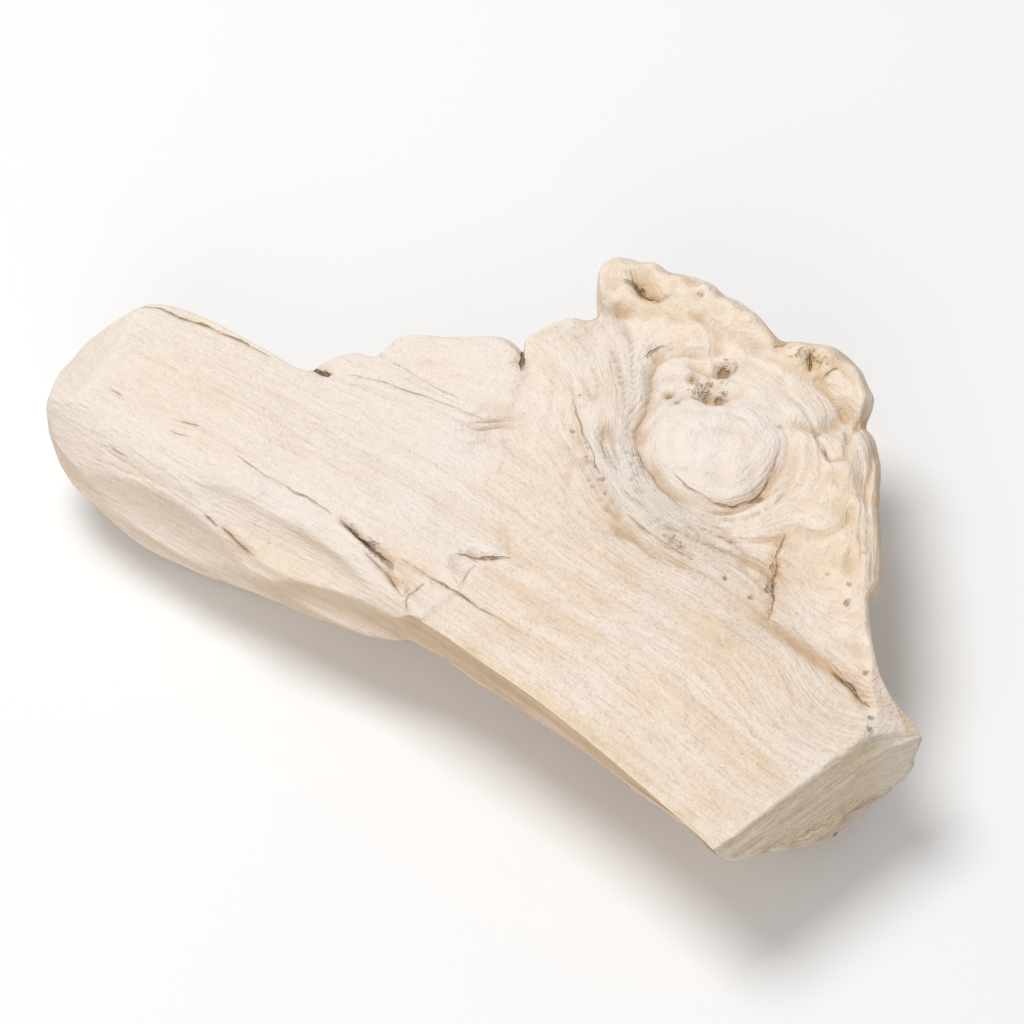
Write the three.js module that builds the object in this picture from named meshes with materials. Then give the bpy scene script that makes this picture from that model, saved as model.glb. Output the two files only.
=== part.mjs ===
// A piece of bleached driftwood, about 20 cm long: the short, half-round end of a broken root that
// widens into a flat split slab with a big knot in it. It is one solid, as it grew.
// Millimetres, +Z up. It lies on its rounded underside, with the split face and its knot on top.
// +X runs along the grain, from the root end to the sawn end. +Y runs from the thin split edge to the
// thick, curled edge behind the knot. The origin is the middle of the box, at the level it lies on.
import * as THREE from "three";
import { mergeVertices } from "three/addons/utils/BufferGeometryUtils.js";

// Driving dimensions, in the lines below: the x and y of an edge, and heights above the ground.
const TOP = 38; // height of the split face
const BETWEEN = 4.2; // wanted distance between neighbouring sections
const AROUND = 40; // points round a section
const CAP_RINGS = 3; // rings that close each end
const SPANS = { top: 18, back: 4, under: 14, front: 4 }; // how a section's points are shared out

// The thin front edge. Each line is a station, which is the x of the edge there, then its y, the top
// and the foot of the side face, and how far the split face rounds over towards it, as a share.
const FRONT = [
  [-101, -17, 30, 19, 0.34],
  [-94, -22, 31, 17, 0.34],
  [-78, -25, 31, 17, 0.34],
  [-55, -26, 31, 18, 0.32],
  [-35, -25, 31, 19, 0.28],
  [-15, -22.5, 32, 21, 0.2],
  [0, -21, 37.5, 26, 0.06],
  [20, -22.5, 38, 27, 0.04],
  [40, -24.5, 38, 29, 0.03],
  [60, -28, 38, 31, 0.03],
  [78, -31.5, 38, 33.5, 0.03],
  [85, -33, 38, 35, 0.03],
];

// The back edge, station by station: the x and y of the point that faces the front edge's station,
// the top and the foot of the side face, and how wide the curled lip is, as a share.
const BACK = [
  [-101, -100, 9, 31, 19, 0.3],
  [-96, -96, 16, 35, 14, 0.2],
  [-87, -86, 19, 36.5, 11, 0.14],
  [-70, -70, 19.5, 36.5, 10, 0.12],
  [-57, -57, 20, 36.5, 11, 0.1],
  [-54, -55, 23.5, 36.5, 14, 0.1],
  [-50, -51.5, 29.5, 37, 17, 0.1],
  [-46, -46.5, 31.5, 37, 18, 0.1],
  [-43, -45, 39, 37, 20, 0.08],
  [-36, -36, 45, 37, 21, 0.08],
  [-27, -28, 51, 37, 21, 0.08],
  [-18, -22, 51.5, 37, 21, 0.08],
  [-14, -22.5, 55, 37.5, 19, 0.08],
  [-9, -19, 61.5, 38, 16, 0.1],
  [-4, -16.5, 66, 38.5, 15, 0.12],
  [0, -16.5, 70.5, 39.5, 14, 0.12],
  [4, -16.8, 77, 42, 13, 0.13],
  [8, -15, 82.5, 43, 12, 0.14],
  [13, -8, 86, 43, 11, 0.15],
  [20, 6, 88, 43, 10, 0.15],
  [31, 25, 85, 43, 10, 0.14],
  [38, 36, 89, 43.5, 10, 0.15],
  [45, 46, 83, 43, 11, 0.14],
  [50, 49, 77, 41, 12, 0.12],
  [55, 55, 72.5, 40, 12, 0.1],
  [62, 65, 58.5, 39, 12, 0.1],
  [69, 75, 44, 38.5, 12, 0.1],
  [73, 77.5, 36, 38.5, 13, 0.1],
  [80, 88, 22, 37, 15, 0.14],
  [85, 100, 17, 29, 18, 0.22],
];

// The rounded underside: where its lowest part starts and ends across the section, as shares of the
// way from front to back, and its height. At height 0 the piece is worn flat and lies on the ground.
const KEEL = [
  [-101, 0.35, 0.65, 16],
  [-93, 0.3, 0.7, 6],
  [-76, 0.3, 0.7, 0],
  [-45, 0.3, 0.65, 0],
  [-25, 0.3, 0.6, 3],
  [-5, 0.35, 0.6, 6],
  [15, 0.35, 0.65, 1],
  [25, 0.35, 0.68, 0],
  [68, 0.4, 0.7, 0],
  [85, 0.56, 0.86, 11],
];

// Where the edge turns back on itself: the middle of a pull, how far it moves the wood, and its reach.
const PULLS = [
  { x: -15, y: 67, dx: 3.6, dy: 0, reach: 5 },
  { x: -18, y: 79, dx: -3, dy: 0, reach: 6 },
  { x: -21, y: 49, dx: 2.6, dy: -1, reach: 2.6 },
];

// The knot: a round boss on the split face, and the groove that rings it.
const KNOT = { x: 29, y: 51, radius: 12, rise: 2.4, groove: 1.2, grooveWidth: 3 };

const LAST = FRONT.length - 1;
const STATION_START = FRONT[0][0];
const STATION_END = FRONT[LAST][0];
const END_LEAN = 0.16; // how far the sawn end leans out below its top edge, per mm of depth
const END_REACH = 14; // how far along the piece that lean is felt
const ROUND_OVER = 2; // how often a section's corners are worn down
const EDGE_DENSITY = 0.75; // how much closer a section's points stand near its edges, 0 for evenly

// The values of a table at a station, on a smooth curve through its lines.
function at(table, station) {
  let i = 0;
  while (i < table.length - 2 && station > table[i + 1][0]) i += 1;
  const [before, low, high, after] = [-1, 0, 1, 2].map(
    (k) => table[THREE.MathUtils.clamp(i + k, 0, table.length - 1)],
  );
  const span = high[0] - low[0];
  const t = (station - low[0]) / span;
  return low.slice(1).map((a, k) => {
    const b = high[k + 1];
    const slopeLow = (b - before[k + 1]) / (high[0] - before[0]);
    const slopeHigh = (after[k + 1] - a) / (after[0] - low[0]);
    const bend = (slopeLow * (1 - t) - slopeHigh * t) * span + (b - a) * (2 * t - 1);
    return a + (b - a) * t + t * (1 - t) * bend;
  });
}

// 1 at the edge of something, falling smoothly to 0 at one width from it.
function fade(distance, width) {
  return Math.max(0, 1 - distance / width) ** 2;
}

// How far the knot lifts the split face.
function knotRise(x, y) {
  const fromMiddle = Math.hypot(x - KNOT.x, y - KNOT.y);
  const boss = KNOT.rise * Math.exp(-((fromMiddle / KNOT.radius) ** 4));
  const ring = (fromMiddle - KNOT.radius * 1.2) / KNOT.grooveWidth;
  return boss - KNOT.groove * Math.exp(-ring * ring);
}

// A point moved by the pulls near it.
function pulled(p) {
  const { x, y } = p;
  for (const pull of PULLS) {
    const near = Math.exp(-((x - pull.x) ** 2 + (y - pull.y) ** 2) / pull.reach ** 2);
    p.x += pull.dx * near;
    p.y += pull.dy * near;
  }
  return p;
}

// The underside's height at a share of the way from front to back.
function underside(share, frontFoot, backFoot, keel) {
  const [start, end, height] = keel;
  const front = Math.max(0, (start - share) / start) ** 1.4;
  const back = Math.max(0, (share - end) / (1 - end)) ** 1.6;
  return height + (frontFoot - height) * front + (backFoot - height) * back;
}

// Shares from 0 towards 1, closer together near both edges.
function shares(count) {
  return Array.from({ length: count }, (_, i) => {
    const even = i / count;
    return THREE.MathUtils.lerp(even, (1 - Math.cos(even * Math.PI)) / 2, EDGE_DENSITY);
  });
}

// One closed section: along the split face to the back, down, back under, and up the front.
function section(station) {
  const [frontY, frontTop, frontFoot, roundOver] = at(FRONT, station);
  const [backX, backY, backTop, backFoot, lip] = at(BACK, station);
  const keel = at(KEEL, station);
  const lean = END_LEAN * fade(STATION_END - station, END_REACH);
  const place = (share, z) => {
    const x = THREE.MathUtils.lerp(station, backX, share);
    const y = THREE.MathUtils.lerp(frontY, backY, share);
    return new THREE.Vector3(x + lean * (TOP - z), y, z);
  };
  const points = [];
  for (const share of shares(SPANS.top)) {
    const p = place(share, TOP);
    p.z += knotRise(p.x, p.y) - (TOP - frontTop) * fade(share, roundOver);
    p.z -= (TOP - backTop) * fade(1 - share, lip);
    points.push(p);
  }
  for (const down of shares(SPANS.back))
    points.push(place(1, THREE.MathUtils.lerp(backTop, backFoot, down)));
  for (const forward of shares(SPANS.under))
    points.push(place(1 - forward, underside(1 - forward, frontFoot, backFoot, keel)));
  for (const up of shares(SPANS.front))
    points.push(place(0, THREE.MathUtils.lerp(frontFoot, frontTop, up)));
  return wornRound(points);
}

// The same points with every corner averaged with its neighbours.
function wornRound(points) {
  let worn = points;
  for (let pass = 0; pass < ROUND_OVER; pass += 1)
    worn = worn.map((p, i) => {
      const before = worn[(i + worn.length - 1) % worn.length];
      const after = worn[(i + 1) % worn.length];
      return p.clone().multiplyScalar(2).add(before).add(after).divideScalar(4);
    });
  worn.forEach((p) => (p.z = Math.max(0, p.z)));
  return worn.map(pulled);
}

// Stations set about BETWEEN apart, measured along the longer of the two edges.
function stations() {
  const list = [STATION_START];
  const step = 0.1;
  let walked = 0;
  for (let s = STATION_START + step; s < STATION_END; s += step) {
    const [x0, y0] = at(BACK, s - step);
    const [x1, y1] = at(BACK, s);
    walked += Math.max(step, Math.hypot(x1 - x0, y1 - y0));
    if (walked >= BETWEEN) {
      list.push(s);
      walked = 0;
    }
  }
  return [...list, STATION_END];
}

// Rings that close an end: the last section drawn in to its middle, bulging by some millimetres.
function cap(ring, bulge) {
  const middle = ring.reduce((sum, p) => sum.add(p), new THREE.Vector3());
  middle.divideScalar(ring.length);
  const rings = [];
  for (let i = 1; i <= CAP_RINGS; i += 1) {
    const share = i / (CAP_RINGS + 1);
    const out = bulge * Math.sin((share * Math.PI) / 2);
    rings.push(
      ring.map((p) => p.clone().lerp(middle, share).add(new THREE.Vector3(out, 0, 0))),
    );
  }
  return { rings, tip: middle.clone().add(new THREE.Vector3(bulge, 0, 0)) };
}

// The whole skin: the sections joined to each other by quads, and each end closed by a fan.
function skin() {
  const body = stations().map(section);
  const root = cap(body[0], -4);
  const sawn = cap(body[body.length - 1], 0.4);
  const rings = [...root.rings.reverse(), ...body, ...sawn.rings];
  const points = [...rings.flat(), root.tip, sawn.tip];
  const [rootTip, sawnTip] = [points.length - 2, points.length - 1];
  const faces = [];
  for (let r = 0; r < rings.length - 1; r += 1)
    for (let i = 0; i < AROUND; i += 1) {
      const next = (i + 1) % AROUND;
      const [a, b] = [r * AROUND + i, r * AROUND + next];
      const [c, d] = [a + AROUND, b + AROUND];
      faces.push(a, c, b, b, c, d);
    }
  const lastRing = (rings.length - 1) * AROUND;
  for (let i = 0; i < AROUND; i += 1) {
    const next = (i + 1) % AROUND;
    faces.push(rootTip, i, next, sawnTip, lastRing + next, lastRing + i);
  }
  const geometry = new THREE.BufferGeometry();
  geometry.setAttribute(
    "position",
    new THREE.Float32BufferAttribute(points.flatMap((p) => p.toArray()), 3),
  );
  geometry.setIndex(faces);
  return mergeVertices(geometry);
}

// The origin goes to the middle of the box, at the level the piece lies on.
function centred(geometry) {
  geometry.computeBoundingBox();
  const middle = geometry.boundingBox.getCenter(new THREE.Vector3());
  geometry.translate(-middle.x, -middle.y, -geometry.boundingBox.min.z);
  geometry.computeVertexNormals();
  return geometry;
}

const bleachedWood = new THREE.MeshStandardMaterial({
  color: 0xece1d1,
  roughness: 0.85,
  metalness: 0,
});

const driftwood = new THREE.Mesh(centred(skin()), bleachedWood);
driftwood.name = "driftwood";

const piece = new THREE.Group();
piece.add(driftwood);

export default piece;
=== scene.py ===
"""A piece of bleached driftwood, lying on a pale floor.

Metres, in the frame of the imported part: +X along the grain from the broken root end to the sawn end,
+Y from the thin split edge to the curled lip, +Z up, with the floor at z = 0.
"""

import math

import bpy
import numpy as np
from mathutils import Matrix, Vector


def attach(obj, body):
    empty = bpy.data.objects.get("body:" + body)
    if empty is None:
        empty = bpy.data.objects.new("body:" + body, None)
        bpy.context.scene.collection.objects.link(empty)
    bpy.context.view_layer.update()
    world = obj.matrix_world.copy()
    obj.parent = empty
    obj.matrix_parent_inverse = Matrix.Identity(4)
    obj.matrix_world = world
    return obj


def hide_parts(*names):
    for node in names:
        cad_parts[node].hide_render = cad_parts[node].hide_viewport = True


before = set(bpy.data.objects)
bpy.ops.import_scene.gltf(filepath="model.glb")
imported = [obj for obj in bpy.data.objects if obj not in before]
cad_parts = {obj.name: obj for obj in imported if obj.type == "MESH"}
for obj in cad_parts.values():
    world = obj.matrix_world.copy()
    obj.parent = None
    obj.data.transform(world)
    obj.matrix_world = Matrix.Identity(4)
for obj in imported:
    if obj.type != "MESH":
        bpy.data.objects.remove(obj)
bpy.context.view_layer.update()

# The driftwood.
# A broken root that widened into the base of a stem: split along the grain by hand, sawn across at one
# end, then tumbled and bleached. What shows is soft early wood worn away between harder late wood, the
# swirl of fibres round a knot, a curled lip of callus wood, drying cracks and beetle holes.
# The tables are in millimetres, with the middle of the box at MIDDLE.
MIDDLE = np.array([-0.821, 27.81, 0.0])
TOP = 38.0
ROWS = 316
SPANS = {"top": 184, "back": 34, "under": 48, "front": 24}
CAP_RINGS = 9
KNOT_X, KNOT_Y = 29.0, 51.0

# x of the front edge, then its y, the top and foot of the side face, and how far the face rounds over.
FRONT = [
    [-101, -17, 29, 20, 0.24],
    [-94, -22, 26, 18, 0.30],
    [-78, -25.4, 24.5, 18, 0.34],
    [-55, -26.4, 25, 19, 0.30],
    [-35, -25.0, 27, 20, 0.24],
    [-15, -22.6, 29, 22, 0.15],
    [-4, -21, 34, 26, 0.06],
    [0, -20.5, 37.6, 28, 0.03],
    [20, -22, 38, 29, 0.012],
    [40, -24, 38, 31, 0.012],
    [60, -27.5, 38, 32.5, 0.012],
    [78, -31.3, 38, 34, 0.012],
    [85, -33, 38, 35, 0.012],
]

# The same station, then the x and y of the back edge there, its top and foot, and the width of its roll.
BACK = [
    [-101, -100, 9, 32, 19, 0.2],
    [-96, -96, 16, 35, 14, 0.12],
    [-87, -86, 19, 36.5, 11, 0.08],
    [-70, -70, 19.5, 36.5, 10, 0.06],
    [-57, -57, 20, 36.8, 11, 0.05],
    [-54, -55, 23.5, 37, 14, 0.05],
    [-50, -51.5, 29.5, 37.2, 17, 0.05],
    [-46, -46.5, 31.5, 37.2, 18, 0.05],
    [-43, -45, 39, 37.2, 20, 0.04],
    [-36, -36, 45, 37.2, 21, 0.04],
    [-27, -28, 51, 37.2, 21, 0.04],
    [-18, -22, 51.5, 37.2, 21, 0.04],
    [-14, -22.5, 55, 37.5, 19, 0.04],
    [-9, -19, 61.5, 38, 16, 0.05],
    [-4, -16.5, 66, 38.5, 15, 0.06],
    [0, -16, 69.5, 39.5, 14, 0.06],
    [4, -16.6, 76.5, 41, 13, 0.06],
    [8, -15, 81.8, 41.5, 12, 0.06],
    [13, -8, 85.4, 41.5, 11, 0.06],
    [20, 6, 87.4, 41.5, 10, 0.06],
    [31, 25.6, 84.6, 41.5, 10, 0.06],
    [38, 36.6, 88.2, 41.5, 10, 0.06],
    [45, 47, 82, 41, 11, 0.06],
    [50, 49.5, 76.5, 40, 12, 0.06],
    [55, 56, 71.5, 39.5, 12, 0.06],
    [62, 65, 58.5, 39, 12, 0.06],
    [69, 75, 44, 38.5, 12, 0.06],
    [73, 77.5, 36, 38.5, 13, 0.06],
    [80, 89, 23, 38, 15, 0.02],
    [85, 101.5, 18, 38, 17, 0.02],
]

# Where the lowest part of a section starts and ends, as shares of the way back, and its height.
KEEL = [
    [-101, 0.35, 0.65, 16],
    [-93, 0.3, 0.7, 6],
    [-76, 0.3, 0.7, 0],
    [-45, 0.3, 0.65, 0],
    [-25, 0.3, 0.6, 3],
    [-5, 0.35, 0.6, 6],
    [15, 0.35, 0.65, 1],
    [25, 0.35, 0.68, 0],
    [68, 0.4, 0.7, 0],
    [85, 0.56, 0.86, 10],
]

# Where the edge turns back on itself: middle, how far it moves the wood, and reach.
PULLS = [(-15, 67, 3.6, 0, 5), (-18, 79, -3, 0, 6), (-21, 49, 2.6, -1, 2.6)]

# Lines that the fibres follow on the split face, each at one ring's number: they run straight below the
# knot and are wrapped round it above.
FIBRES = {
    -34: [(-95, -34), (-50, -35), (0, -34), (50, -38), (95, -42)],
    0: [(-105, -1), (-60, 1), (-20, 2), (20, 0), (60, -3), (100, -6)],
    14: [(-105, 13), (-60, 14), (-20, 16), (12, 13), (35, 11), (60, 12), (98, 8)],
    26: [(-60, 24), (-25, 31), (-4, 28), (14, 21), (32, 18.5), (50, 19), (70, 17), (95, 14)],
    36: [(-45, 40), (-20, 56), (-5, 50), (0, 42), (8, 35), (17, 29), (25, 26), (35, 24.5), (45, 25)],
    38: [(58, 24), (72, 21), (90, 17.5)],
    46: [(-6, 62), (3, 53), (8, 46), (16, 36), (28, 30), (38, 29), (47, 31), (60, 30), (74, 28)],
    42: [(84, 30), (76, 44), (66, 59), (56, 74)],
    52: [(68, 40), (62, 52), (55, 64), (48, 72), (-8, 71), (0, 75), (15, 78), (30, 80), (40, 78)],
    56: [(5, 60), (10, 46), (20, 37), (32, 33), (43, 36), (50, 45), (52, 55), (46, 66), (28, 72)],
    66: [(17, 50), (22, 41), (32, 39.5), (41, 46), (39, 58), (29, 63), (19, 60)],
    74: [(28, 51)],
    47: [(-16, 84), (5, 89), (25, 88), (38, 92), (50, 82)],
}

# Drying cracks and folds: half width and depth, then the line that each follows.
CRACKS = [
    (0.26, 0.8, [(-98, 10.6), (-96, 13), (-93, 14.8), (-87, 15.4), (-83, 16.6), (-75, 17.2), (-64, 17.6)]),
    (0.12, 0.3, [(-52, 21.4), (-41, 25.5), (-30, 28), (-20, 30), (-12, 31)]),
    (0.1, 0.25, [(-47, 31), (-33, 31.3), (-24, 31.5)]),
    (0.3, 0.9, [(8.2, 3.6), (5, 1.4), (3, 0.2), (1, -0.8), (-1.5, -2.4)]),
    (0.18, 0.5, [(3.4, -2), (2.8, -4), (3.2, -6), (4, -8)]),
    (0.36, 2.8, [(-27, -9.4), (-24, -9.9), (-20, -10.4), (-16, -11.2), (-11.5, -11.4)]),
    (0.2, 1.0, [(-18, -13.2), (-12.6, -14), (-8, -15.6), (-4.6, -18)]),
    (0.2, 0.5, [(-55, -9), (-42, -9.2), (-34, -9.2), (-28, -9.4)]),
    (0.2, 0.7, [(-10.8, -10), (-3, -10.3), (8, -10.5), (22, -11)]),
    (0.16, 0.4, [(-72.5, -8.6), (-69, -8), (-66, -7)]),
    (0.16, 0.4, [(-71, -11.6), (-68.5, -11.4), (-65.5, -10.5)]),
    (0.14, 0.3, [(-89, -9.4), (-84, -9.8)]),
    (0.14, 0.3, [(-82, -19), (-76, -19.4)]),
    (0.2, 0.6, [(-54.5, -21.6), (-52, -22), (-50, -22.4)]),
    (0.24, 0.8, [(-49.5, -21.8), (-45, -22.4), (-40, -23.2)]),
    (0.22, 0.8, [(40, 60), (41, 55), (42, 50), (41.6, 46), (39.4, 42.4), (35, 40.4), (29, 40), (24, 41)]),
    (0.14, 0.4, [(-9, 50.5), (-5, 46), (0, 41), (8, 34.6), (17, 28.2)]),
    (0.16, 0.5, [(22, 26.6), (27, 25.4), (35, 24.6), (42, 24.8)]),
    (0.16, 0.5, [(13, 43), (18, 39.4), (24, 36.8), (31, 34.6)]),
    (0.26, 0.9, [(52.5, 42.5), (54, 37), (56, 33), (59, 28), (62.3, 20.8)]),
    (0.34, 1.1, [(80, 19), (86, 17.6), (91, 15.4)]),
    (0.12, 0.4, [(42, 68.6), (46, 66), (52, 61), (57, 56)]),
    (0.12, 0.4, [(62, 57), (67, 49), (71, 42.5)]),
    (0.5, 1.2, [(-22.5, 52), (-20, 48.5), (-18, 45)]),
    (0.2, 0.6, [(1.8, 62), (1.6, 65.4), (3, 68.6), (6, 70.4)]),
    (0.2, 1.0, [(-13.4, 81), (-11, 78.4), (-7, 77.4), (-3, 78.6)]),
    (0.28, 1.2, [(33.6, 80.6), (31, 84)]),
    (0.2, 0.8, [(23.6, 81), (25.4, 84)]),
    (0.2, 0.8, [(37, 81), (38.4, 84.4)]),
    (0.5, 1.4, [(-56.5, 20.4), (-54, 20.6), (-51.5, 21.1)]),
    (0.16, 0.7, [(-2.6, -12), (-4, -16.5), (-0.8, -21.5)]),
]

# Round holes and small hollows: x, y, radius.
PITS = [
    (11.5, 59, 0.7), (14.5, 57.4, 0.7), (37, 64, 0.6), (42.6, 47.4, 0.8), (55.6, 35, 0.5),
    (56, 24, 0.6), (49, 24.6, 0.6), (61, 23.2, 0.5), (74, 33, 0.8), (66, 38, 0.5), (72, 37, 0.6),
    (93, 13.4, 0.7), (94.4, 11, 0.7), (3.5, 83, 0.7), (17.5, 71.6, 0.9), (20.6, 64.5, 0.9),
    (17, 66.6, 0.8), (22.4, 61, 0.7), (15.6, 62.6, 0.7), (55, 29, 0.4), (53.4, 32, 0.4),
    (44, 68, 0.5), (86.5, 21, 0.6), (70, 46, 0.5), (57.4, 27, 0.4), (7, 34, 0.4), (18, 27.6, 0.5),
    (36, 26, 0.5), (32, 27, 0.4), (-4, 47, 0.4), (19.6, 73, 0.6), (12.6, 66, 0.6), (-8.8, 78.4, 0.7),
    (-6, 77.8, 0.6), (-3, 79, 0.6),
]

# Soft hollows rotted out beside the knot and in the lip: x, y, reach, depth.
HOLLOWS = [(19.6, 63, 2.7, 2.2), (17.4, 71.4, 2.2, 1.6), (13.4, 65.6, 1.6, 0.9), (11.6, 58.8, 1.3, 0.8),
           (3.6, 66, 1.8, 1.0), (24.4, 82, 1.8, 0.9), (33, 82.6, 2.4, 1.1), (-7, 78, 3.0, 1.1)]

# Hollows broken or worn out of the wood, each the side of a long rounded body that lies outside it: the
# body's middle, half length, half width and half depth, then its turn, and how far its depth is tilted
# up from level, in degrees.
SCOOPS = [
    (-30, -32.3, 46.4, 46, 13, 20, -4, 42),
    (-67.5, -33.0, 26.0, 36, 14.5, 10, 1, 24),
    (-14, -26.8, 28.4, 24, 8.0, 6.0, 5, 18),
    (1.2, -4.4, 38.8, 3.4, 2.8, 1.6, -20, 90),
]

# The edge of the whitish outer layer that is left on the root end: minus x at each y.
FLAKE = [(-40, 2), (-14, -4), (-10, -6), (-5, -2.6), (0, -2), (3, -7.5), (6, -4), (12, 1), (24, 9),
         (32, 11), (40, 15), (48, 20), (70, 19)]

# Along the foot of the curled lip, the rim of the right edge, and the groove that runs to the sawn end:
# y at each x.
LIP = [(-30, 56), (-16, 63), (-12, 67), (-8, 71), (0, 75), (8, 77), (16, 79.4), (30, 80), (41, 79),
       (48, 76.5), (64, 69)]
RIGHT_EDGE = [(45, 84), (56, 72), (66, 57.5), (76, 42.5), (83, 30), (93, 17)]
GROOVE = [(55, 21), (66, 20.6), (74, 20), (80, 19.2), (86, 17.8), (92, 15.6), (100, 13)]

# Flat facets: a point on each, the way it falls in degrees, and how steeply.
FACETS = [(95.6, 10.5, 38.2, 26, 0.76), (-93.8, -9, 37.6, 191, 0.62)]


def at(table, station):
    """A table's values at many stations, on smooth curves through its lines."""
    rows = np.array(table, float)
    knots, values = rows[:, 0], rows[:, 1:]
    last = len(knots) - 1
    above, below = np.minimum(np.arange(last + 1) + 1, last), np.maximum(np.arange(last + 1) - 1, 0)
    slopes = (values[above] - values[below]) / (knots[above] - knots[below])[:, None]
    i = np.clip(np.searchsorted(knots, station, side="right") - 1, 0, last - 1)
    span = (knots[i + 1] - knots[i])[:, None]
    t = (station - knots[i])[:, None] / span
    a, b = values[i], values[i + 1]
    bend = (slopes[i] * (1 - t) - slopes[i + 1] * t) * span + (b - a) * (2 * t - 1)
    return (a + (b - a) * t + t * (1 - t) * bend).T


def smooth(value, start, end):
    """0 before start and 1 after end, turning smoothly between them."""
    t = np.clip((value - start) / (end - start), 0, 1)
    return t * t * (3 - 2 * t)


def noise(x, y, z, seed):
    """Smooth noise from -1 to 1: hashed values at the corners of unit cubes, eased between them."""
    corner = np.floor(np.stack([x, y, z])).astype(np.int64)
    fx, fy, fz = (f * f * (3 - 2 * f) for f in np.stack([x, y, z]) - corner)
    total = 0.0
    for dx in (0, 1):
        for dy in (0, 1):
            for dz in (0, 1):
                h = (corner[0] + dx) * 374761393 + (corner[1] + dy) * 668265263
                h = (h + (corner[2] + dz) * 2147483647 + seed * 144665) & 0xFFFFFFFF
                h = ((h ^ (h >> 13)) * 1274126177) & 0xFFFFFFFF
                h = (h ^ (h >> 16)) & 0xFFFF
                weight = (fx if dx else 1 - fx) * (fy if dy else 1 - fy) * (fz if dz else 1 - fz)
                total = total + weight * (h / 32767.5 - 1)
    return total


def fibre_field(x, y):
    """The ring number at each point: a thin plate bent through all the points of FIBRES."""
    known = np.array([(px, py, level) for level, line in FIBRES.items() for px, py in line], float)

    def plate(ax, ay):
        squared = (ax[..., None] - known[:, 0]) ** 2 + (ay[..., None] - known[:, 1]) ** 2
        return 0.5 * squared * np.log(squared + 1e-9)

    flat = np.stack([np.ones(len(known)), known[:, 0], known[:, 1]], 1)
    bends = plate(known[:, 0], known[:, 1]) + 6.0 * np.eye(len(known))
    system = np.block([[bends, flat], [flat.T, np.zeros((3, 3))]])
    solved = np.linalg.solve(system, np.concatenate([known[:, 2], np.zeros(3)]))
    return plate(x, y) @ solved[:-3] + solved[-3] + solved[-2] * x + solved[-1] * y


def beside(x, y, line):
    """Signed distance to the nearest point of a line, and how far along the line that is, 0 to 1."""
    best, sign, along = np.full(x.shape, 1e9), np.ones(x.shape), np.zeros(x.shape)
    ends = np.array(line, float)
    lengths = np.hypot(*np.diff(ends, axis=0).T)
    walked = np.concatenate([[0], np.cumsum(lengths)]) / lengths.sum()
    for (x0, y0), (x1, y1), start, end in zip(ends[:-1], ends[1:], walked[:-1], walked[1:]):
        dx, dy = x1 - x0, y1 - y0
        t = np.clip(((x - x0) * dx + (y - y0) * dy) / (dx * dx + dy * dy), 0, 1)
        far = np.hypot(x - x0 - t * dx, y - y0 - t * dy)
        nearer = far < best
        best = np.where(nearer, far, best)
        sign = np.where(nearer, np.sign((y - y0) * dx - (x - x0) * dy), sign)
        along = np.where(nearer, start + (end - start) * t, along)
    return best * sign, along


def past(x, y, line):
    """How far y is past a line that is given as y at each x."""
    return y - np.interp(x, *np.array(line, float).T)


def creases(x, y, ring, long, wide, seed):
    """Sharp valleys that follow the fibres where a drawn-out noise crosses zero, 0 to 1."""
    return np.exp(-((noise(x / long, y / long, ring / wide, seed) / 0.13) ** 2))


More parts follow.
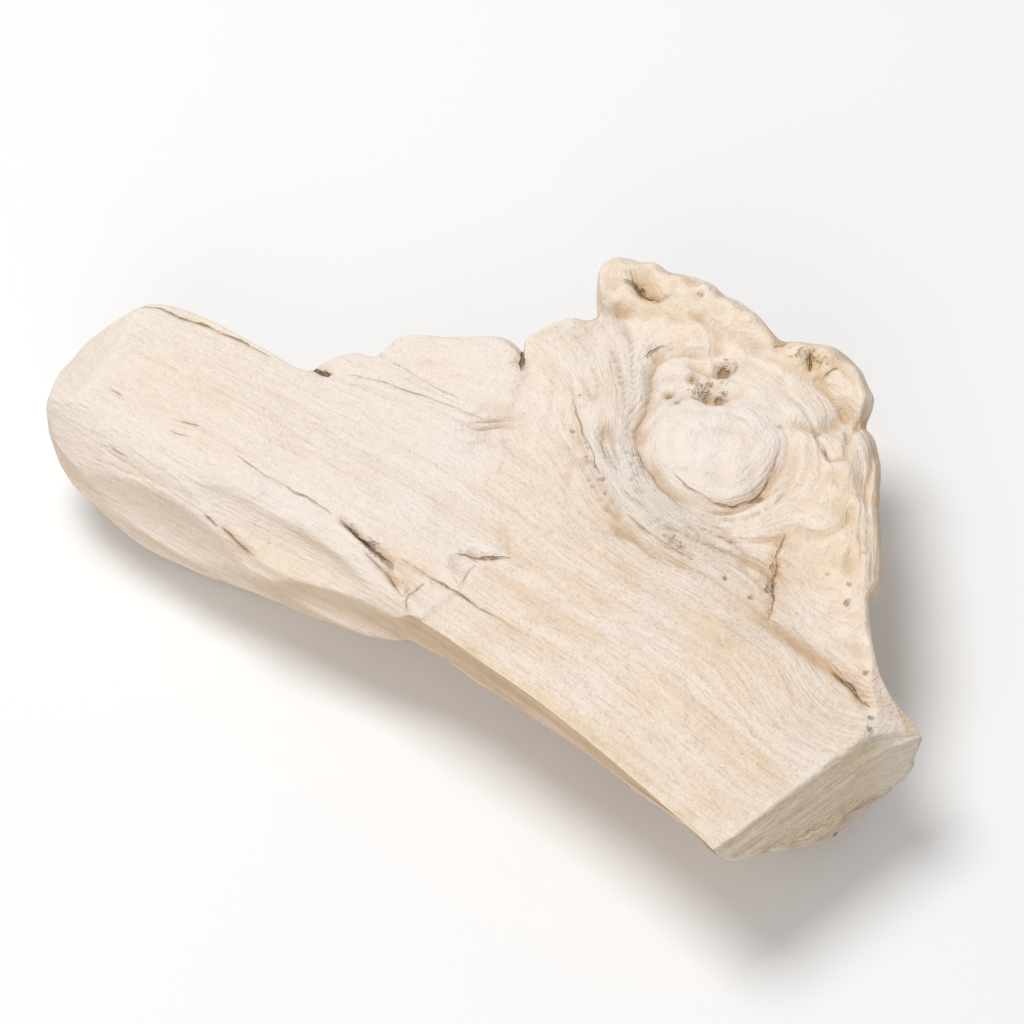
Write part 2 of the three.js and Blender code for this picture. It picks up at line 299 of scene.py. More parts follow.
def split_face(x, y, ring):
    """Height of the split face: a nearly flat plane, plus the knot's boss with a spiral crease and the
    folds round it, less the rotted hollows, plus the rolled lip and the knobbly right edge, the step where
    the top layer has flaked off, and small waves of harder and softer wood."""
    flat = ring * 0
    z = TOP + 0.55 * noise(x / 38, y / 22, flat, 3) + 0.3 * noise(x / 17, y / 8, flat, 4)
    z += 0.5 * smooth(x, -30, -60) * noise(x / 30, y / 14, flat, 27)

    u, v = (x - 28.5) * 0.64 + (y - 52) * 0.77, (y - 52) * 0.64 - (x - 28.5) * 0.77
    far = np.hypot(u / np.where(u > 0, 1.16, 1.0), v) * (1 + 0.08 * noise(x / 9, y / 9, flat, 10))
    low_side = smooth((x - KNOT_X) * 0.6 - (y - KNOT_Y), -10, 8)
    rotten = np.exp(-(((x - 17) / 7) ** 2) - ((y - 66) / 8.5) ** 2)
    boss = np.exp(-((far / 12.6) ** (4 + 3 * low_side)))
    z += 2.5 * boss * (1 - 0.6 * rotten) - 0.8 * low_side * np.exp(-(((far - 13.6) / 1.6) ** 2))
    z += boss * (1.1 * noise(x / 7, y / 7, flat, 28) + 0.5 * noise(x / 3.2, y / 3.2, flat, 29))
    turn = far / 5.0 - np.arctan2(v, u) / (2 * math.pi)
    spiral = np.exp(-(((turn - np.floor(turn) - 0.5) / 0.1) ** 2)) * smooth(far, 2, 5) * smooth(far, 14, 11)
    z -= 0.6 * spiral * (1 - 0.6 * low_side) * (0.6 + 0.4 * noise(x / 5, y / 5, flat, 30))
    z += 1.1 * (1 - low_side) * smooth(far, 26, 12)

    folds = smooth(far, 44, 28) * smooth(far, 12, 17) * smooth(y, 16, 26)
    z += folds * (1.9 * noise(x / 26, y / 26, ring / 6.5, 5) + 0.8 * noise(x / 11, y / 11, ring / 30, 16))
    z -= folds * 2.0 * creases(x, y, ring, 30, 6.0, 11) * (0.6 + 0.4 * noise(x / 8, y / 8, flat, 12))
    z -= folds * 0.9 * creases(x, y, ring, 14, 3.4, 13)
    z += (1 - folds) * (0.2 * noise(x / 34, y / 34, ring / 3.2, 6) - 0.25 * creases(x, y, ring, 70, 6.0, 14))
    z += rotten * (2.2 * noise(x / 4.2, y / 4.2, flat, 19) + 1.1 * noise(x / 1.9, y / 1.9, flat, 20) - 1.5)
    for px, py, reach, depth in HOLLOWS:
        z -= depth * np.exp(-((((x - px) ** 2 + (y - py) ** 2) / reach**2) ** 2))

    lip_line = past(x, y, LIP)
    roll = smooth(lip_line, -2.0 - 4 * smooth(x, 20, 0), 4.5)
    z += 3.4 * roll + roll * (2.0 * noise(x / 7.5, y / 6, flat, 7) + 1.1 * noise(x / 3.4, y / 3.4, flat, 17))
    z -= (0.4 + 0.9 * smooth(x, 14, 24)) * np.exp(-((lip_line / 1.6) ** 2))
    z -= 2.4 * np.exp(-(((x + 9.5) / 4.5) ** 2) - ((y - 71 - 0.5 * (x + 9.5)) / 2.2) ** 2)
    edge_line = 0.6 * past(x, y, RIGHT_EDGE)
    knobs = np.exp(-(((edge_line + 5) / 6.5) ** 2)) * smooth(y, 15, 24) * smooth(x, 44, 56)
    z += knobs * (1.5 + 1.6 * noise(x / 9, y / 9, edge_line / 3.5, 8))
    z += knobs * 0.7 * noise(x / 5.3, y / 3.1, flat, 9)
    groove_line = past(x, y, GROOVE)
    above = smooth(x, 54, 70) * smooth(x, 96, 91)
    z += above * (1.0 * smooth(groove_line, -1.5, 3.5) - 1.1 * np.exp(-(((groove_line + 0.3) / 1.8) ** 2)))

    ragged = 1.8 * noise(x / 5, y / 5, flat, 25) + 0.8 * noise(x / 1.8, y / 1.8, flat, 35)
    step = 0.15 + 0.35 * smooth(y, 14, 28) + 0.6 * smooth(y, 8, 2)
    z += step * (1 + 0.8 * noise(x / 11, y / 11, flat, 26)) * smooth(past(y, -x, FLAKE) + ragged, -0.9, 0.9)
    peeled = np.exp(-(((x + 14.5) / 4) ** 2) - ((y - 31) / 8) ** 2)
    z -= peeled * (0.8 + 1.2 * creases(x, y, (x * 0.8 - y * 0.6) * 2, 12, 4.4, 36))
    torn = np.exp(-(((x + 8) / 6) ** 2) - (((y + 14.5) + 0.4 * (x + 8)) / 2.6) ** 2)
    z -= torn * (0.8 + 0.8 * noise(x / 4, y / 1.2, flat, 37))
    splinters = smooth(y, -17.5, -20.5) * smooth(x, -90, -78) * smooth(x, -28, -38)
    return z + splinters * (0.7 * noise(x / 13, y / 2.2, flat, 23) - 0.6 * creases(x, y, y * 2, 22, 3.2, 24))


def lower(value, limit, soften):
    """The lower of two values, with the corner between them rounded off by a length."""
    return -np.logaddexp(-value / soften, -limit / soften) * soften


def carve(grid):
    """Moves the points inside each scoop back to its wall, and those above each facet down to it."""
    for cx, cy, cz, length, width, depth, turn, tilt in SCOOPS:
        t, b = math.radians(turn), math.radians(tilt)
        along = np.array([math.cos(t), math.sin(t), 0])
        out = np.array([math.sin(t) * math.cos(b), -math.cos(t) * math.cos(b), math.sin(b)])
        offset = grid - (cx, cy, cz)
        inside = 1 - (offset @ along / length) ** 2 - (offset @ np.cross(out, along) / width) ** 2
        wall = np.where(inside > 0, -depth * np.sqrt(np.maximum(inside, 0)), 99)
        grid = grid + (lower(offset @ out, wall, 0.22) - offset @ out)[:, :, None] * out
    for fx, fy, fz, way, slope in FACETS:
        out = np.array([math.cos(math.radians(way)) * slope, math.sin(math.radians(way)) * slope, 1])
        out /= np.linalg.norm(out)
        height = (grid - (fx, fy, fz)) @ out
        grid = grid + (lower(height, 0, 0.2) - height)[:, :, None] * out
    return grid


def outward(grid):
    """The direction away from the wood at each point of the skin."""
    wrapped = np.concatenate([grid[:, -1:], grid, grid[:, :1]], 1)
    normal = np.cross(wrapped[:, 2:] - wrapped[:, :-2], np.gradient(grid, axis=0))
    normal *= np.sign(normal[:, : SPANS["top"], 2].mean())
    return normal / (np.linalg.norm(normal, axis=2, keepdims=True) + 1e-9)


def shares(count, density=0.7):
    """Shares from 0 towards 1, closer together near both ends."""
    even = np.arange(count) / count
    return even + ((1 - np.cos(even * math.pi)) / 2 - even) * density


dense = np.linspace(FRONT[0][0], FRONT[-1][0], 4000)
edge = at(BACK, dense)[:2]
walk = np.maximum(np.hypot(*np.diff(edge, axis=1)), 1.5 * np.diff(dense))
walk = np.concatenate([[0], np.cumsum(walk)])
station = np.interp(np.linspace(0, walk[-1], ROWS), walk, dense)

front_y, front_top, front_foot, round_over = (v[:, None] for v in at(FRONT, station))
back_x, back_y, back_top, back_foot, roll_width = (v[:, None] for v in at(BACK, station))
keel_start, keel_end, keel_height = (v[:, None] for v in at(KEEL, station))
station = station[:, None]
root_x, sawn_x = FRONT[0][0], FRONT[-1][0]


def across(share):
    """x and y at a share of the way from the front edge to the back edge, with the pulls."""
    x, y = station + (back_x - station) * share, front_y + (back_y - front_y) * share
    near = [np.exp(-((x - px) ** 2 + (y - py) ** 2) / reach**2) for px, py, _, _, reach in PULLS]
    moved_x = x + sum(dx * n for (_, _, dx, _, _), n in zip(PULLS, near))
    moved_y = y + sum(dy * n for (_, _, _, dy, _), n in zip(PULLS, near))
    return moved_x, moved_y


share = shares(SPANS["top"])[None, :]
x, y = across(share)
ring = fibre_field(x, y)
z = split_face(x, y, ring)
z -= (TOP - front_top) * np.maximum(0, 1 - share / round_over) ** 2
z += (back_top - TOP) * np.maximum(0, 1 - (1 - share) / roll_width) ** 2 * (back_top < TOP)
z -= 1.2 * np.maximum(0, 1 - (1 - share) / 0.03) ** 2
top = [x, y, z]


# Below its rim the back is a calmer shape: the same outline, but evened out and drawn in.
def evened(values, width=26):
    """A column of values averaged along the stations, with its ends kept."""
    spread_out = np.exp(-((np.arange(-3 * width, 3 * width + 1) / width) ** 2))
    padded = np.pad(values[:, 0], 3 * width, mode="reflect", reflect_type="odd")
    return np.convolve(padded, spread_out / spread_out.sum(), mode="valid")[:, None]


rim_x, rim_y = across(np.ones((1, 1)))
body = smooth(station, root_x + 2, root_x + 20) * smooth(station, sawn_x - 2, sawn_x - 22)
foot_x = rim_x + body * (evened(rim_x) - 3 * smooth(rim_x, 20, 60) - rim_x)
foot_y = rim_y + body * (np.minimum(evened(rim_y), rim_y + 3) - 8 - rim_y)
rim_z = 2 * top[2][:, -1:] - top[2][:, -2:-1]
down = shares(SPANS["back"])[None, :]
draw_in = smooth(down, 0.06, 1.0) - 0.16 * np.sin(np.minimum(down * 4, 1) * math.pi)
back = [rim_x + (foot_x - rim_x) * draw_in, rim_y + (foot_y - rim_y) * draw_in,
        rim_z + (back_foot - rim_z) * down]

share = 1 - shares(SPANS["under"])[None, :]
x, y = station + (foot_x - station) * share, front_y + (foot_y - front_y) * share
rise = np.maximum(0, (keel_start - share) / keel_start) ** (1.4 - 0.4 * smooth(station, 68, 85))
fall = np.maximum(0, (share - keel_end) / (1 - keel_end)) ** 1.6
under = [x, y, keel_height + (front_foot - keel_height) * rise + (back_foot - keel_height) * fall]

x, y = across(np.zeros((1, 1)))
up = shares(SPANS["front"])[None, :]
front = [x + 0 * up, y + 0 * up, front_foot + (top[2][:, :1] - front_foot) * up]

grid = np.stack([np.concatenate(parts, 1) for parts in zip(top, back, under, front)], 2)
is_top = np.concatenate([np.full(SPANS[k], k == "top") for k in ("top", "back", "under", "front")])
j = np.arange(len(is_top))
worn = np.where(is_top, np.exp(-np.minimum(j, SPANS["top"] - 1 - j) / 2.0), 1)[None, :, None]
for _ in range(5):
    grid += worn * ((np.roll(grid, 1, 1) + 2 * grid + np.roll(grid, -1, 1)) / 4 - grid)

# The sides and the underside: long flutes along the grain, and broader lumps and hollows.
x, y, z = grid[:, :, 0], grid[:, :, 1], grid[:, :, 2]
lumps = 1.6 * noise(x / 26, y / 16, z / 12, 31) + 0.8 * noise(x / 18, y / 6, z / 5, 32)
lumps += 0.4 * noise(x / 12, y / 2.6, z / 2.4, 33)
beyond_edge = smooth(j, SPANS["top"], SPANS["top"] + 12) * smooth(j[::-1], 0, 10)
grid += outward(grid) * (lumps * beyond_edge * smooth(station, -101, -92))[:, :, None]
grid = carve(grid)


def sawn_place(y, z):
    """x on the sawn end: a flat cut across the grain at a slant, 0.245 along for each 1 back, which leans
    out for its first 5 mm down and then drops nearly plumb, and turns out towards the back corner."""
    turned_out = 0.3 * np.logaddexp(0, (y - 9.5) / 0.8)
    return 84.6 + 0.245 * (y + 32) + turned_out + 0.5 * lower(TOP - z, 5, 0.5) - 0.05 * (TOP - z)


near_end = np.maximum(0, 1 - (sawn_x - station) / 14) ** 2
end_slant = (BACK[-1][1] - sawn_x) / (BACK[-1][2] - FRONT[-1][1])
last_line = sawn_x + end_slant * (grid[:, :, 1] - FRONT[-1][1])
grid[:, :, 0] += near_end * (sawn_place(grid[:, :, 1], grid[:, :, 2]) - last_line)
middle = grid[[0, -1]].mean(1, keepdims=True)
drawn = (np.arange(1, CAP_RINGS + 1) / (CAP_RINGS + 0.6))[:, None, None]
root_cap = grid[0] + (middle[0] - grid[0]) * drawn
root_cap[:, :, 0] -= 4.5 * np.sin(drawn[:, :, 0] * math.pi / 2)
sawn_cap = grid[-1] + (middle[1] - grid[-1]) * drawn
shift = grid[-1][:, 0] - sawn_place(grid[-1][:, 1], grid[-1][:, 2])
sawn_cap[:, :, 0] = sawn_place(sawn_cap[:, :, 1], sawn_cap[:, :, 2]) + shift * (1 - drawn[:, :, 0])
cap_part = np.concatenate([drawn[::-1, 0, 0], np.zeros(ROWS), drawn[:, 0, 0]])
end_part = np.concatenate([np.zeros(CAP_RINGS + ROWS), np.ones(CAP_RINGS)])
grid = np.concatenate([root_cap[::-1], grid, sawn_cap])

x, y, z = grid[:, :, 0], grid[:, :, 1], grid[:, :, 2]
ring = fibre_field(x, y)
ring -= 1.1 * (TOP - z)
on_top = is_top[None, :] * (1 - smooth(cap_part, 0, 0.01))[:, None]

# Cracks and holes, as distances in millimetres that the wood's material draws sharply, and as hollows.
crack, opened, hollow = np.full(x.shape, 9.0), np.zeros(x.shape), np.zeros(x.shape)
nearest = np.full(x.shape, 9.0)
wander = 0.35 * noise(x / 2.6, y / 2.6, z / 2.6, 21)
for width, depth, line in CRACKS:
    aside, along = beside(x + wander, y + wander, line)
    taper = np.sqrt(np.clip(4 * along * (1 - along), 0, 1)) * smooth(np.abs(aside), 3.2, 1.6)
    closer = (np.abs(aside) - width < nearest) & (np.abs(aside) < 3.2)
    nearest = np.where(closer, np.abs(aside) - width, nearest)
    crack = np.where(closer, aside, crack)
    opened = np.where(closer, width * taper, opened)
    hollow += depth * taper * np.exp(-((aside / (width + 0.45)) ** 2))
pit = np.full(x.shape, -3.0)
for px, py, radius in PITS:
    reach = np.hypot(x - px, y - py)
    pit = np.maximum(pit, radius - reach)
    hollow += 0.9 * radius * np.exp(-((reach / (radius + 0.3)) ** 2))
opened, hollow = opened * on_top, hollow * on_top
pit = np.where(on_top > 0.5, np.clip(pit, -3, 3), -3)
z -= hollow

# The root end is worn to a brush of fibres; the sawn end is rough where its lower part was broken off.
ends = 0.35 * noise(x / 9, y / 2.0, z / 2.0, 34) * cap_part[:, None] * (1 - end_part[:, None])
broken_off = smooth(z + 0.37 * (y + 18.5), 27.6, 26) * smooth(x, 78, 84)
broken_off *= smooth(y, -26, -20) * smooth(y, 17, 11)
burst = 1.1 * noise(x / 3, y / 3.5, z / 2.2, 38) + 0.6 * noise(x / 1.6, y / 1.5, z / 1.5, 39)
saw_marks = 0.12 * np.sin(z * 2.6 + 0.05 * y) * end_part[:, None] * (1 - broken_off)
grid[:, :, 0] += ends + broken_off * burst + saw_marks
grid[:, :, 2] = np.maximum(z + 0.8 * broken_off * burst * (1 - end_part[:, None]), 0)

# How far each point lies below the wood round it, for dirt and painted shade in hollows, and for worn, paler
# crests with a painted highlight.
blurred = grid.copy()
for _ in range(10):
    blurred = (np.roll(blurred, 1, 1) + 2 * blurred + np.roll(blurred, -1, 1)) / 4
    blurred[1:-1] = (blurred[:-2] + 2 * blurred[1:-1] + blurred[2:]) / 4
shade_and_dirt_depth = ((blurred - grid) * outward(grid)).sum(2)

rings, around = grid.shape[:2]
points = np.concatenate([grid.reshape(-1, 3), grid[0].mean(0)[None], grid[-1].mean(0)[None]])
r, i = np.meshgrid(np.arange(rings - 1), np.arange(around), indexing="ij")
a, b = r * around + i, r * around + (i + 1) % around
faces = np.stack([a, a + around, b + around, b], 2).reshape(-1, 4).tolist()
i = np.arange(around)
last = (rings - 1) * around
faces += np.stack([np.full(around, rings * around), i, (i + 1) % around], 1).tolist()
faces += np.stack([np.full(around, rings * around + 1), last + (i + 1) % around, last + i], 1).tolist()
mesh = bpy.data.meshes.new("driftwood")
mesh.from_pydata(((points - MIDDLE) / 1000).tolist(), [], faces)
mesh.shade_smooth()


def store(name, values):
    """Keeps one number per point on the mesh for the material to read."""
    values = np.asarray(values, float).reshape(-1)
    values = np.concatenate([values, [values[:around].mean(), values[-around:].mean()]])
    mesh.attributes.new(name, "FLOAT", "POINT").data.foreach_set("value", values.astype(np.float32))


# Soft patches on the split face: x, y, length, width, turn in degrees and strength of each.
PATCHES = {
    "chalk": [(0, 62, 14, 10, 0, 0.8), (34, 72, 20, 8, -8, 0.9), (10, 40, 20, 9, -40, 0.9),
              (-8, 32, 8, 12, 15, 0.6), (30, 31, 22, 6, -4, 0.6)],
    "calm": [(29, 51, 12, 12, 0, 1.0), (100, 14, 8, 7, 0, 1.0)],
    "busy": [(28, 30, 28, 7, -4, 0.3), (2, 45, 16, 8, -52, 0.3), (52, 62, 14, 8, -55, 0.5)],
    "gold": [(0, 79, 22, 6.5, 4, 0.9), (34, 82, 14, 6, 0, 0.9), (68, 45, 28, 8, -55, 0.5),
             (0, 52, 5, 4, -40, 0.5), (56, 11.5, 11, 3, -4, 1.0), (-80, 17, 18, 3.5, 0, 0.45),
             (-75, 2, 16, 8, 0, 0.4), (62, -27, 26, 3, -10, 0.7), (22, -22.5, 24, 2.6, -5, 0.9),
             (-30, -22, 18, 4, -4, 0.7), (64, -9, 26, 5, -6, 0.5), (-6, -10, 12, 3, -3, 0.7)],
    # Painted shade: greyer patches on the sawn corner facet and on the scoop in the arm's front, which turn
    # from the light.
    "grey_shade": [(100, 15, 7, 6, 0, 1.2), (-26, -19, 24, 3.6, -5, 0.5)],
    # Brown stains; the patch in the hollow under the lip, at (-10, 70.6), is painted shade.
    "stains_and_shade": [(-8, 77.6, 7, 1.8, -5, 1.0), (33, 82, 4, 2, 40, 0.7), (56.5, 32, 11, 3.2, -65, 1.0),
              (76, 19, 15, 1.5, -5, 1.0), (-44, -22.6, 6, 1.2, -10, 1.0), (35, 26, 6, 1.6, -8, 0.6),
              (-8, -14, 8, 2.2, -24, 0.8), (-15, 31, 5, 8, 15, 0.35), (20, 63, 4, 4, 0, 0.5),
              (18, 72, 3, 3, 0, 0.5), (3, 37, 5, 1.6, -38, 0.5), (15, 29, 6, 1.8, -30, 0.5),
              (70, -8, 7, 1.5, -8, 0.5), (84, -11, 4, 1.3, -10, 0.5), (62, -5.5, 6, 1.3, -8, 0.35),
              (-10, 70.6, 5, 1.8, 27, 0.6), (-2, 85, 3, 1.5, 0, 0.5), (43, 54, 1.5, 9, -8, 0.4)],
    "rot": [(18, 64, 5, 4, 0, 1.0), (17.5, 72, 3, 3, 0, 0.9), (-8, 77.6, 6, 1.6, -5, 1.0),
            (32, 83, 9, 2.6, 4, 0.9), (-19, -10.8, 9, 1.3, -5, 1.0), (57, 31, 10, 2.0, -65, 0.8),
            (34, 26, 6, 1.6, -8, 0.8), (3, 37, 7, 1.4, -38, 0.7), (2.4, 66, 1.6, 4, 0, 0.7),
            (14, 30, 8, 1.4, -32, 0.6), (2, 85.5, 4, 2, 0, 0.7), (-8, -14, 7, 1.6, -24, 0.7),
            (-51, -22.2, 5, 0.8, -8, 0.5), (78, -10, 12, 2, -8, 0.4), (44.5, 66, 4, 1.2, -35, 0.8)],
}
patch = {}
for name, places in PATCHES.items():
    patch[name] = np.zeros(x.shape)
    for px, py, length, width, turn, strength in places:
        c, s = math.cos(math.radians(turn)), math.sin(math.radians(turn))
        u, v = ((x - px) * c + (y - py) * s) / length, ((y - py) * c - (x - px) * s) / width
        patch[name] += strength * np.exp(-(u * u + v * v))
    patch[name] = np.clip(patch[name] * on_top, 0, 1)

on_end = end_part[:, None] * np.ones_like(x)
facing = np.clip(outward(grid)[:, :, 2], 0, 1)
upward = smooth(facing, 0.1, 0.6) * (1 - on_end)
flake = past(y, -x, FLAKE) + 3 * noise(x / 7, y / 7, z * 0, 41)
whitened = 0.85 * smooth(flake, -3, 5) + 0.9 * smooth(np.hypot(x - KNOT_X, y - KNOT_Y), 19, 11)
root_facet = smooth(x * 0.98 + y * 0.19, -93, -95) * upward
# Painted shade: the front side is browned the less it faces up, and the other sides of the slab are browned
# too.
front_shade = smooth(facing, 0.75, 0.3) * smooth(y, -10, -16) * smooth(x, 84, 80)
front_shade *= 0.25 + 0.55 * smooth(x, -44, -28) + 0.2 * smooth(x, -6, 4)
sides_shade = (1 - is_top[None, :]) * (1 - on_end) * smooth(x, -8, 2)

store("ring", ring)
store("sawn", on_end)
store("crack", crack)
store("opened", opened)
store("pit", pit)
# Painted shade and highlight follow this depth, weaker on the sawn end.
store("shade_and_dirt_depth", shade_and_dirt_depth * (1 - 0.8 * on_end))
store("chalk", np.clip(whitened + patch["chalk"], 0, 1) * upward)
store("busy", 1 - 0.9 * patch["calm"] + patch["busy"])
store("gold", patch["gold"])
# Browner where the wood is broken off and on the lower sawn end; on the front and other sides the browning
# is painted shade.
shade_and_browning = front_shade + 0.35 * on_end * smooth(y, 12, 8) + 0.9 * broken_off + 0.8 * sides_shade
store("tan", np.clip(shade_and_browning, 0, 1))
# Painted shade: a greyer tone on the sawn end's back corner, the chamfer at the root end and the grey
# patches.
store("grey_shade", np.clip(on_end * smooth(y, 7, 12) + 0.5 * root_facet + patch["grey_shade"], 0, 1))
store("stains_and_shade", patch["stains_and_shade"])
store("rot", patch["rot"])

wood = bpy.data.objects.new("driftwood_surface", mesh)
bpy.context.scene.collection.objects.link(wood)
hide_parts("driftwood")
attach(wood, "root")


def linear(hex_colour):
    """An sRGB hex colour as the linear RGBA that shaders take."""
    parts = [int(hex_colour[k : k + 2], 16) / 255 for k in (0, 2, 4)]
    return tuple(p / 12.92 if p <= 0.04045 else ((p + 0.055) / 1.055) ** 2.4 for p in parts) + (1.0,)


# Bleached wood: chalky and matt, with long streaks of cream and beige along the fibres, whiter where the
# top layer is left and on the knot, yellower on the callus lip, brown in hollows with dirt and painted
# shade, paler with a painted highlight on worn crests, browner and greyer with painted shade on the sides
# and on facets that turn from the light, and dark in the cracks.
bleached = bpy.data.materials.new("bleached wood")
bleached.use_nodes = True
tree = bleached.node_tree
shader = tree.nodes["Principled BSDF"]


def node(kind, settings=None, out=0, **inputs):
    """Adds a node to the wood's tree with its settings, and with its inputs as values or links, by name or
    by number (_0). Gives back one of its outputs."""
    made = tree.nodes.new("ShaderNode" + kind)
    for key, value in (settings or {}).items():
        setattr(made, key, value)
    for key, value in inputs.items():
        socket = made.inputs[int(key[1:])] if key[0] == "_" else made.inputs[key.replace("_", " ")]
        if isinstance(value, bpy.types.NodeSocket):
            tree.links.new(value, socket)
        else:
            socket.default_value = value
    return made.outputs[out]


kept = {}
for name in ("ring", "sawn", "crack", "opened", "pit", "shade_and_dirt_depth", "chalk", "busy", "gold", "tan", "grey_shade",
             "stains_and_shade", "rot"):
    kept[name] = node("Attribute", {"attribute_name": name}, "Fac")

# Along the fibres the pattern's third axis is the ring number: on the sawn end, a layer's height.
place = node("TexCoord", out="Object")
layer = node("VectorMath", {"operation": "DOT_PRODUCT"}, "Value", _0=place, _1=(0, 120, 2200))
past_end = node("Math", {"operation": "GREATER_THAN"}, _0=kept["sawn"], _1=0.5)
ring_number = node("Mix", _0=past_end, _2=kept["ring"], _3=layer)
across_rings = node("CombineXYZ", _2=ring_number)
with_fibres = node("VectorMath", {"operation": "MULTIPLY_ADD"}, _0=place, _1=(1, 1, 0), _2=across_rings)

# Streaks drawn out along the fibres: length and width in millimetres, and detail.
pattern = {}
for name, length, width, detail in (("broad", 50, 4.5, 2), ("lines", 13, 1.0, 3), ("hairs", 5, 0.4, 3),
                                    ("bands", 30, 2.6, 3), ("ridges", 10, 2.8, 2), ("breaks", 5, 2.5, 2)):
    scale = (1000 / length, 1000 / length, 1 / width)
    drawn_out = node("VectorMath", {"operation": "MULTIPLY"}, _0=with_fibres, _1=scale)
    pattern[name] = node("TexNoise", out="Fac", Vector=drawn_out, Scale=1.0, Detail=detail, Roughness=0.55)

# Patches and grains that run no way: size in millimetres, detail and roughness.
for name, size, detail, rough in (("patches", 24, 2, 0.5), ("mottle", 14, 3, 0.5), ("blots", 6, 4, 0.65),
                                  ("freckles", 5, 4, 0.6), ("lumps", 4, 3, 0.5), ("eaten", 2.4, 3, 0.65),
                                  ("ragged", 1.1, 2, 0.5), ("specks", 0.9, 3, 0.6)):
    pattern[name] = node("TexNoise", out="Fac", Vector=place, Scale=1000 / size, Detail=detail,
                         Roughness=rough)
pattern["layers"] = node("TexNoise", {"noise_dimensions": "1D"}, "Fac", W=layer, Scale=0.22, Detail=2.0)

# Some are stretched: from which levels, and to which values.
for name, low, high, least, most in (("lines", 0.32, 0.68, -0.5, 0.5), ("hairs", 0.32, 0.68, -0.5, 0.5),
                                     ("breaks", 0.36, 0.6, 0.35, 1), ("ragged", 0, 1, -0.9, 0.9),
                                     ("specks", 0.35, 0.65, 0, 1)):
    pattern[name] = node("MapRange", Value=pattern[name], From_Min=low, From_Max=high, To_Min=least,
                         To_Max=most)
for name, more_on_end in (("lines", 1.8), ("hairs", 0.0)):
    contrast = node("Math", {"operation": "MULTIPLY_ADD"}, _0=kept["sawn"], _1=more_on_end, _2=1.0)
    contrast = node("Math", {"operation": "MULTIPLY"}, _0=contrast, _1=kept["busy"])
    pattern[name] = node("Math", {"operation": "MULTIPLY_ADD"}, _0=pattern[name], _1=contrast, _2=0.5)

# A crack is dark as far from its line as it is wide there; a hole is a drilled pit or a rotten speck.
width = node("Math", {"operation": "MULTIPLY"}, _0=kept["opened"], _1=pattern["breaks"])
width = node("Math", {"operation": "MAXIMUM"}, _0=width, _1=0.001)
reach = node("Math", {"operation": "ABSOLUTE"}, _0=kept["crack"])
reach = node("Math", {"operation": "DIVIDE"}, _0=reach, _1=width)
reach = node("Math", {"operation": "ADD"}, _0=reach, _1=pattern["ragged"])
drilled = node("Math", {"operation": "MULTIPLY_ADD"}, _0=pattern["ragged"], _1=0.4, _2=kept["pit"])
eaten = node("Math", {"operation": "MULTIPLY_ADD"}, _0=kept["rot"], _1=0.22, _2=pattern["eaten"])
masks = []
for value, low, high in ((reach, 1.5, 0.5), (width, 0.03, 0.3), (drilled, -0.1, 0.5), (eaten, 0.68, 0.84),
                         (kept["rot"], 0.15, 0.5)):
    masks.append(node("MapRange", Value=value, From_Min=low, From_Max=high))
gap = node("Math", {"operation": "MULTIPLY"}, _0=masks[0], _1=masks[1])
rotten = node("Math", {"operation": "MULTIPLY"}, _0=masks[3], _1=masks[4])
hole = node("Math", {"operation": "MAXIMUM"}, _0=masks[2], _1=rotten)

# The colours, each over the ones before it: the colour, where it lies, the pattern that breaks it up, the
# pattern's levels where it is thinnest and thickest, and how much of it shows there.
colour = linear("EED9C2")
for hex_colour, mask, spread, low, high, least, most in (
    ("F4E6D8", 1.0, pattern["broad"], 0.35, 0.65, 0.0, 1.0),
    ("F2E6DC", 1.0, pattern["patches"], 0.4, 0.62, 0.0, 0.6),
    ("F8ECDF", 1.0, pattern["lines"], 0.55, 1.0, 0.0, 0.4),
    ("CFAE87", 1.0, pattern["lines"], 0.4, 0.0, 0.0, 0.22),
    ("C29F78", 1.0, pattern["hairs"], 0.4, 0.0, 0.0, 0.22),
    ("E2C8A6", 1.0, pattern["freckles"], 0.5, 0.72, 0.0, 0.32),
    ("C9A67E", 1.0, pattern["specks"], 0.35, 0.0, 0.0, 0.28),
    ("F2E7DD", kept["chalk"], pattern["mottle"], 0.3, 0.6, 0.48, 0.8),
    ("EFD4A9", kept["gold"], pattern["mottle"], 0.3, 0.65, 0.23, 0.585),
    ("CDB58C", kept["gold"], pattern["blots"], 0.5, 0.7, 0.0, 0.6),
    # Browner on the broken wood and the lower sawn end, and painted shade on the front and other sides.
    ("CBAA82", kept["tan"], pattern["bands"], 0.35, 0.62, 0.49, 0.82),
    ("F7E5C8", kept["sawn"], pattern["layers"], 0.4, 0.6, 0.2, 0.95),
    # Painted shade: greyer on the facets that turn from the light.
    ("E9DDD0", 1.0, kept["grey_shade"], 0.0, 1.0, 0.0, 0.55),
    # Painted shade with dirt in the hollows, and a painted highlight on the worn crests.
    ("C2A178", 1.0, kept["shade_and_dirt_depth"], 0.0, 0.7, 0.0, 0.55),
    ("FBF3E9", 1.0, kept["shade_and_dirt_depth"], 0.0, -0.7, 0.0, 0.35),
    # Brown stains, with painted shade in the hollow under the lip.
    ("C89C6A", kept["stains_and_shade"], pattern["lines"], 0.9, 0.2, 0.21, 0.7),
    ("A8855C", 1.0, gap, 0.0, 1.0, 0.0, 0.6),
    ("54402A", gap, width, 0.15, 0.5, 0.0, 0.8),
    ("8F6C44", 1.0, hole, 0.0, 1.0, 0.0, 0.5),
):
    share = node("MapRange", Value=spread, From_Min=low, From_Max=high, To_Min=least, To_Max=most)
    share = node("Math", {"operation": "MULTIPLY"}, _0=share, _1=mask)
    colour = node("Mix", {"data_type": "RGBA"}, 2, _0=share, _6=colour, _7=linear(hex_colour))
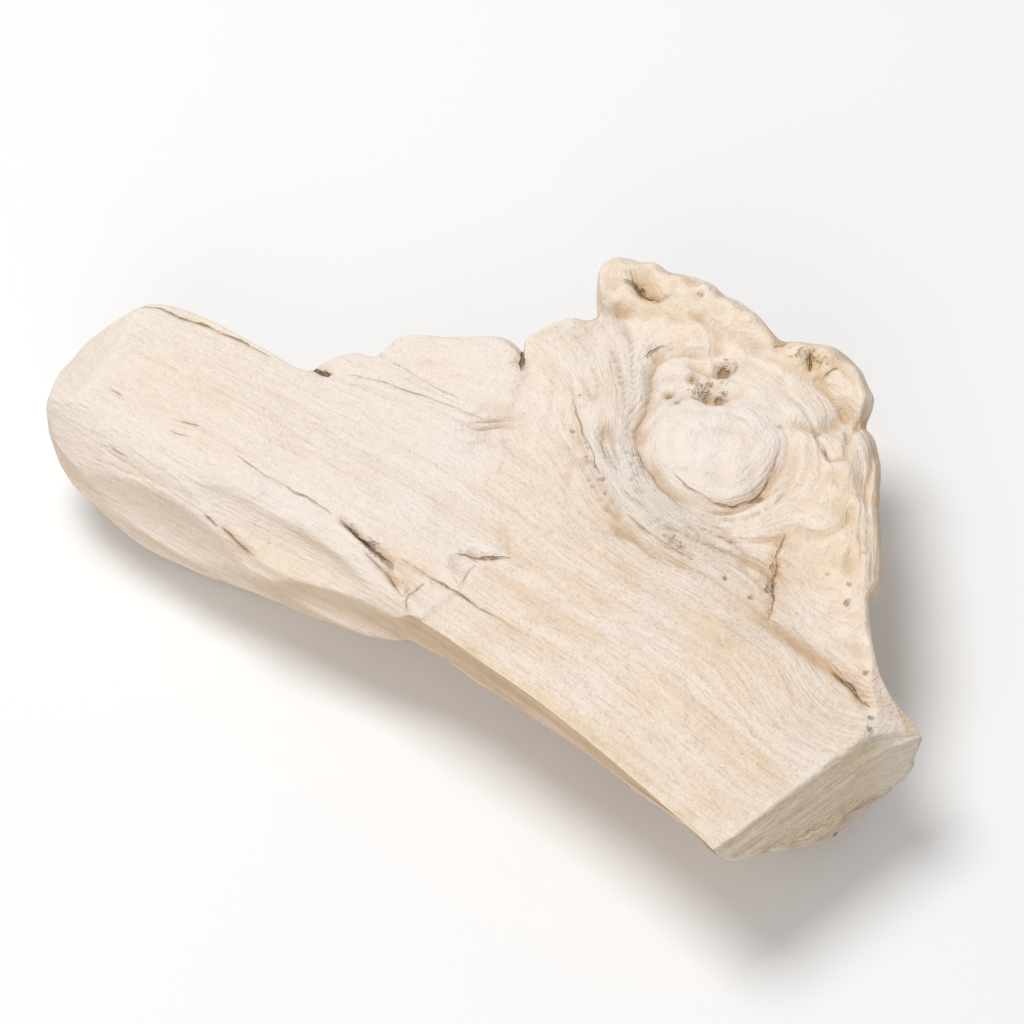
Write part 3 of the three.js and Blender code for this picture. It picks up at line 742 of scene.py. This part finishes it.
tree.links.new(colour, shader.inputs["Base Color"])

# Relief that is too fine for the mesh: how high each pattern stands, in millimetres.
relief = 0.0
for raised, height in ((pattern["lines"], 0.15), (pattern["hairs"], 0.09), (pattern["specks"], 0.13),
                       (pattern["ridges"], 0.6), (pattern["lumps"], 0.7), (gap, -0.9), (hole, -0.6)):
    relief = node("Math", {"operation": "MULTIPLY_ADD"}, _0=raised, _1=height, _2=relief)
normal = node("Bump", Height=relief, Distance=0.001, Strength=1.0)
tree.links.new(normal, shader.inputs["Normal"])
shader.inputs["Roughness"].default_value = 0.86
shader.inputs["Specular IOR Level"].default_value = 0.25
mesh.materials.append(bleached)

# The floor.
# A plain matt surface, as wide as a table.
floor_mesh = bpy.data.meshes.new("floor")
floor_mesh.from_pydata([(-4, -4, 0), (4, -4, 0), (4, 4, 0), (-4, 4, 0)], [], [(0, 1, 2, 3)])
floor = bpy.data.objects.new("floor", floor_mesh)
bpy.context.scene.collection.objects.link(floor)
pale = bpy.data.materials.new("pale paint")
pale.use_nodes = True
pale.node_tree.nodes["Principled BSDF"].inputs["Base Color"].default_value = linear("F4F4F4")
pale.node_tree.nodes["Principled BSDF"].inputs["Roughness"].default_value = 0.9
floor_mesh.materials.append(pale)


# The light.
# A wide softbox above and behind on the left, a weaker one in front, and an even pale surround.
def softbox(name, spot, aim, size, power):
    """A round area light at a spot, turned to face a point."""
    light = bpy.data.lights.new(name, "AREA")
    light.shape = "DISK"
    light.size = size
    light.energy = power
    lamp = bpy.data.objects.new(name, light)
    lamp.location = spot
    lamp.rotation_mode = "QUATERNION"
    lamp.rotation_quaternion = (Vector(aim) - Vector(spot)).to_track_quat("-Z", "Y")
    bpy.context.scene.collection.objects.link(lamp)


softbox("key", (-0.42, -0.02, 1.2), (0, 0, 0.02), 0.6, 9.8)
softbox("fill", (0.45, -1.0, 0.65), (0, 0, 0.02), 0.9, 3.4)
world = bpy.data.worlds.new("surround")
world.use_nodes = True
world.node_tree.nodes["Background"].inputs["Color"].default_value = linear("FFFFFF")
world.node_tree.nodes["Background"].inputs["Strength"].default_value = 0.42
bpy.context.scene.world = world
bpy.context.scene.view_settings.view_transform = "Standard"

# The camera.
# High above the thin front edge, a little towards the sawn end.
azimuth, elevation, distance = math.radians(35), math.radians(54), 1.2
target = Vector((-0.004, -0.005, 0.022))
back_off = Vector((math.sin(azimuth) * math.cos(elevation), -math.cos(azimuth) * math.cos(elevation),
                   math.sin(elevation)))
camera = bpy.data.objects.new("camera", bpy.data.cameras.new("camera"))
camera.data.sensor_width = 36
camera.data.lens = 36 * distance / 0.222
camera.location = target + back_off * distance
camera.rotation_mode = "QUATERNION"
camera.rotation_quaternion = (-back_off).to_track_quat("-Z", "Y")
bpy.context.scene.collection.objects.link(camera)
bpy.context.scene.camera = camera
